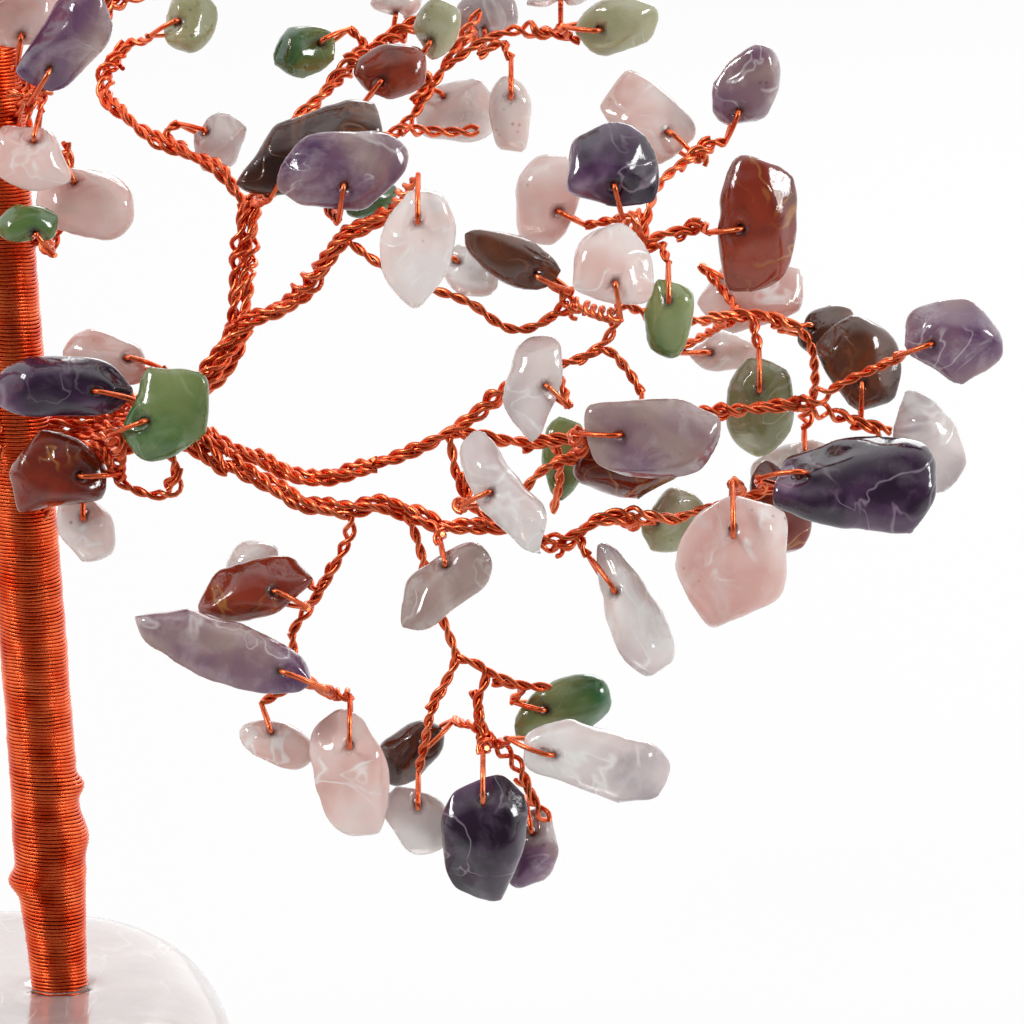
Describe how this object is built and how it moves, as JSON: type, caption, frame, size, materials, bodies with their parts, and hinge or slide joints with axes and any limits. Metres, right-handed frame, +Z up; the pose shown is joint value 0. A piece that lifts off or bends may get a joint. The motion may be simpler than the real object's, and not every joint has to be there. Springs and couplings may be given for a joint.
{
  "type": "gemstone tree ornament",
  "caption": "Copper wire tree with twisted branches and drilled polished stone chips held in wire eyes, some hanging free, standing in a rounded quartz base.",
  "frame": {"origin": "on the base's underside, straight below the point where the trunk leaves the stone", "axes": "+Z up along the standing tree; +X to the right of the pictured view; +Y away from the viewer"},
  "size_m": [0.1419, 0.1259, 0.1521],
  "materials": {
    "red_jasper": "polished stone",
    "lilac_amethyst": "polished stone",
    "rose_quartz": "polished stone",
    "brown_jasper": "polished stone",
    "quartz": "polished stone",
    "deep_amethyst": "polished stone",
    "aventurine": "polished stone",
    "smoky_quartz": "polished stone",
    "prehnite": "polished stone",
    "copper_wire": "lacquered copper",
    "base_rose_quartz": "polished stone",
    "clear_glue": "clear"
  },
  "bodies": {
    "tree": {"base_stone": "base_rose_quartz", "socket_glue": "clear_glue", "trunk_core": "copper_wire", "trunk_wrap": "copper_wire", "trunk_winding": "copper_wire", "limb_right_lower": "copper_wire", "twigs_right_lower": "copper_wire", "limb_right_upper": "copper_wire", "twigs_right_upper": "copper_wire", "limb_right_rear": "copper_wire", "twigs_right_rear": "copper_wire", "limb_left_lower": "copper_wire", "twigs_left_lower": "copper_wire", "limb_left_upper": "copper_wire", "twigs_left_upper": "copper_wire", "limb_back_upper": "copper_wire", "twigs_back_upper": "copper_wire", "limb_front_lower": "copper_wire", "twigs_front_lower": "copper_wire", "limb_crown_right": "copper_wire", "twigs_crown_right": "copper_wire", "limb_crown_left": "copper_wire", "twigs_crown_left": "copper_wire", "limb_crown_top": "copper_wire", "twigs_crown_top": "copper_wire", "red_jasper_chips": "red_jasper", "lilac_amethyst_chips": "lilac_amethyst", "rose_quartz_chips": "rose_quartz", "brown_jasper_chips": "brown_jasper", "aventurine_chips": "aventurine", "quartz_chips": "quartz", "smoky_quartz_chips": "quartz", "prehnite_chips": "prehnite", "deep_amethyst_chips": "deep_amethyst"},
    "hanging_rose_quartz_right_lower_1_body": {"hanging_rose_quartz_right_lower_1": "rose_quartz"},
    "hanging_quartz_right_lower_2_body": {"hanging_quartz_right_lower_2": "quartz"},
    "hanging_deep_amethyst_right_lower_3_body": {"hanging_deep_amethyst_right_lower_3": "deep_amethyst"},
    "hanging_rose_quartz_right_lower_4_body": {"hanging_rose_quartz_right_lower_4": "rose_quartz"},
    "hanging_aventurine_right_upper_1_body": {"hanging_aventurine_right_upper_1": "aventurine"},
    "hanging_rose_quartz_right_upper_2_body": {"hanging_rose_quartz_right_upper_2": "rose_quartz"},
    "hanging_prehnite_right_upper_3_body": {"hanging_prehnite_right_upper_3": "prehnite"},
    "hanging_rose_quartz_right_rear_1_body": {"hanging_rose_quartz_right_rear_1": "rose_quartz"},
    "hanging_rose_quartz_right_rear_2_body": {"hanging_rose_quartz_right_rear_2": "rose_quartz"},
    "hanging_deep_amethyst_left_lower_1_body": {"hanging_deep_amethyst_left_lower_1": "deep_amethyst"},
    "hanging_rose_quartz_left_upper_1_body": {"hanging_rose_quartz_left_upper_1": "rose_quartz"},
    "hanging_prehnite_left_upper_2_body": {"hanging_prehnite_left_upper_2": "prehnite"},
    "hanging_aventurine_back_upper_1_body": {"hanging_aventurine_back_upper_1": "aventurine"},
    "hanging_rose_quartz_front_lower_1_body": {"hanging_rose_quartz_front_lower_1": "rose_quartz"},
    "hanging_quartz_front_lower_2_body": {"hanging_quartz_front_lower_2": "quartz"},
    "hanging_rose_quartz_front_lower_3_body": {"hanging_rose_quartz_front_lower_3": "rose_quartz"},
    "hanging_rose_quartz_crown_right_1_body": {"hanging_rose_quartz_crown_right_1": "rose_quartz"},
    "hanging_prehnite_crown_right_2_body": {"hanging_prehnite_crown_right_2": "prehnite"},
    "hanging_aventurine_crown_left_1_body": {"hanging_aventurine_crown_left_1": "aventurine"},
    "hanging_rose_quartz_crown_top_1_body": {"hanging_rose_quartz_crown_top_1": "rose_quartz"}
  },
  "joints": [
    {"name": "swing_rose_quartz_right_lower_1", "type": "hinge", "parent": "tree", "child": "hanging_rose_quartz_right_lower_1_body", "pos_m": [0.02306, -0.01758, 0.04474], "axis": [0, -1, 0], "range_deg": [-30, 15]},
    {"name": "swing_quartz_right_lower_2", "type": "hinge", "parent": "tree", "child": "hanging_quartz_right_lower_2_body", "pos_m": [0.02818, -0.01484, 0.03932], "axis": [0, -1, 0], "range_deg": [-30, 30]},
    {"name": "swing_deep_amethyst_right_lower_3", "type": "hinge", "parent": "tree", "child": "hanging_deep_amethyst_right_lower_3_body", "pos_m": [0.03311, -0.01812, 0.04056], "axis": [0, -1, 0], "range_deg": [-30, 30]},
    {"name": "swing_rose_quartz_right_lower_4", "type": "hinge", "parent": "tree", "child": "hanging_rose_quartz_right_lower_4_body", "pos_m": [0.05175, -0.02312, 0.06235], "axis": [0, -1, 0], "range_deg": [-25, 30]},
    {"name": "swing_aventurine_right_upper_1", "type": "hinge", "parent": "tree", "child": "hanging_aventurine_right_upper_1_body", "pos_m": [0.04708, -0.01391, 0.0783], "axis": [0, -1, 0], "range_deg": [-30, 30]},
    {"name": "swing_rose_quartz_right_upper_2", "type": "hinge", "parent": "tree", "child": "hanging_rose_quartz_right_upper_2_body", "pos_m": [0.02831, -0.01836, 0.08511], "axis": [0, -1, 0], "range_deg": [-30, 30]},
    {"name": "swing_prehnite_right_upper_3", "type": "hinge", "parent": "tree", "child": "hanging_prehnite_right_upper_3_body", "pos_m": [0.05412, -0.00703, 0.07001], "axis": [0, -1, 0], "range_deg": [-30, 30]},
    {"name": "swing_rose_quartz_right_rear_1", "type": "hinge", "parent": "tree", "child": "hanging_rose_quartz_right_rear_1_body", "pos_m": [0.00258, -0.00586, 0.05983], "axis": [0, -1, 0], "range_deg": [-30, 30]},
    {"name": "swing_rose_quartz_right_rear_2", "type": "hinge", "parent": "tree", "child": "hanging_rose_quartz_right_rear_2_body", "pos_m": [0.03524, 0.00781, 0.09019], "axis": [0, -1, 0], "range_deg": [-15, 30]},
    {"name": "swing_deep_amethyst_left_lower_1", "type": "hinge", "parent": "tree", "child": "hanging_deep_amethyst_left_lower_1_body", "pos_m": [-0.04122, 0.01419, 0.04413], "axis": [-0.0971, 0.9953, 0], "range_deg": [-30, 30]},
    {"name": "swing_rose_quartz_left_upper_1", "type": "hinge", "parent": "tree", "child": "hanging_rose_quartz_left_upper_1_body", "pos_m": [-0.02652, -0.0258, 0.09405], "axis": [-0.2899, 0.9571, 0], "range_deg": [-30, 30]},
    {"name": "swing_prehnite_left_upper_2", "type": "hinge", "parent": "tree", "child": "hanging_prehnite_left_upper_2_body", "pos_m": [-0.05536, -0.02229, 0.08079], "axis": [-0.2899, 0.9571, 0], "range_deg": [-30, 30]},
    {"name": "swing_aventurine_back_upper_1", "type": "hinge", "parent": "tree", "child": "hanging_aventurine_back_upper_1_body", "pos_m": [-0.02814, 0.04194, 0.09666], "axis": [0.9607, 0.2775, 0], "range_deg": [-30, 30]},
    {"name": "swing_rose_quartz_front_lower_1", "type": "hinge", "parent": "tree", "child": "hanging_rose_quartz_front_lower_1_body", "pos_m": [-0.02838, -0.02097, 0.0533], "axis": [-0.944, 0.3301, 0], "range_deg": [-30, 15]},
    {"name": "swing_quartz_front_lower_2", "type": "hinge", "parent": "tree", "child": "hanging_quartz_front_lower_2_body", "pos_m": [-0.02748, -0.02706, 0.04843], "axis": [-0.944, 0.3301, 0], "range_deg": [-30, 30]},
    {"name": "swing_rose_quartz_front_lower_3", "type": "hinge", "parent": "tree", "child": "hanging_rose_quartz_front_lower_3_body", "pos_m": [-0.04191, -0.04467, 0.07379], "axis": [-0.944, 0.3301, 0], "range_deg": [-20, 30]},
    {"name": "swing_rose_quartz_crown_right_1", "type": "hinge", "parent": "tree", "child": "hanging_rose_quartz_crown_right_1_body", "pos_m": [0.01718, -0.00765, 0.1247], "axis": [0.4521, -0.892, 0], "range_deg": [-30, 30]},
    {"name": "swing_prehnite_crown_right_2", "type": "hinge", "parent": "tree", "child": "hanging_prehnite_crown_right_2_body", "pos_m": [0.03521, 0.01818, 0.12752], "axis": [0.4521, -0.892, 0], "range_deg": [-30, 30]},
    {"name": "swing_aventurine_crown_left_1", "type": "hinge", "parent": "tree", "child": "hanging_aventurine_crown_left_1_body", "pos_m": [-0.01915, -0.02911, 0.13464], "axis": [-0.7167, 0.6974, 0], "range_deg": [-20, 30]},
    {"name": "swing_rose_quartz_crown_top_1", "type": "hinge", "parent": "tree", "child": "hanging_rose_quartz_crown_top_1_body", "pos_m": [0.00746, -0.01417, 0.13827], "axis": [-0.9871, -0.1603, 0], "range_deg": [-20, 30]}
  ]
}
